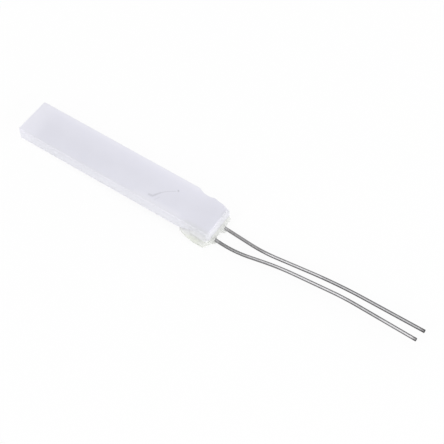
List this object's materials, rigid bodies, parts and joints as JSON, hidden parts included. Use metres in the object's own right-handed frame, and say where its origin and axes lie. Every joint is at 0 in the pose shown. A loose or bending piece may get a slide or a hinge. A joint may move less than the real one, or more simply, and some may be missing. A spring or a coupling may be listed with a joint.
{
  "type": "rtd sensor element",
  "caption": "Thin-film platinum resistance element: slim ceramic chip with a chipped back edge, glassy fixing bead under one end and a pair of gently bent bare lead wires.",
  "frame": {"origin": "middle of the ceramic chip's plain face, which is the flat face opposite the film side", "axes": "+X along the chip towards the lead end, +Y across the chip towards its chipped back edge, +Z out of the plain face; the film side, the bead and the leads lie on the -Z side"},
  "size_m": [0.0195, 0.002, 0.001],
  "materials": {
    "alumina": "matt fired alumina, very pale lavender white",
    "platinum_film": "thin grey metal film",
    "cover_glass": "thin fired glaze, clear with a grey-green tint",
    "pad_metal": "printed and fired metal paste, satin",
    "bead_glass": "fused glass-ceramic, pale yellow-green, slightly cloudy, softly glossy",
    "lead_metal": "drawn platinum-coated nickel wire, grey, with fine lengthwise marks"
  },
  "bodies": {
    "root": {"ceramic_chip": "alumina", "platinum_track": "platinum_film", "cover_glass": "cover_glass", "contact_pad_back": "pad_metal", "contact_pad_front": "pad_metal", "fixing_bead": "bead_glass", "lead_wire_back": "lead_metal", "lead_wire_front": "lead_metal"}
  },
  "joints": []
}
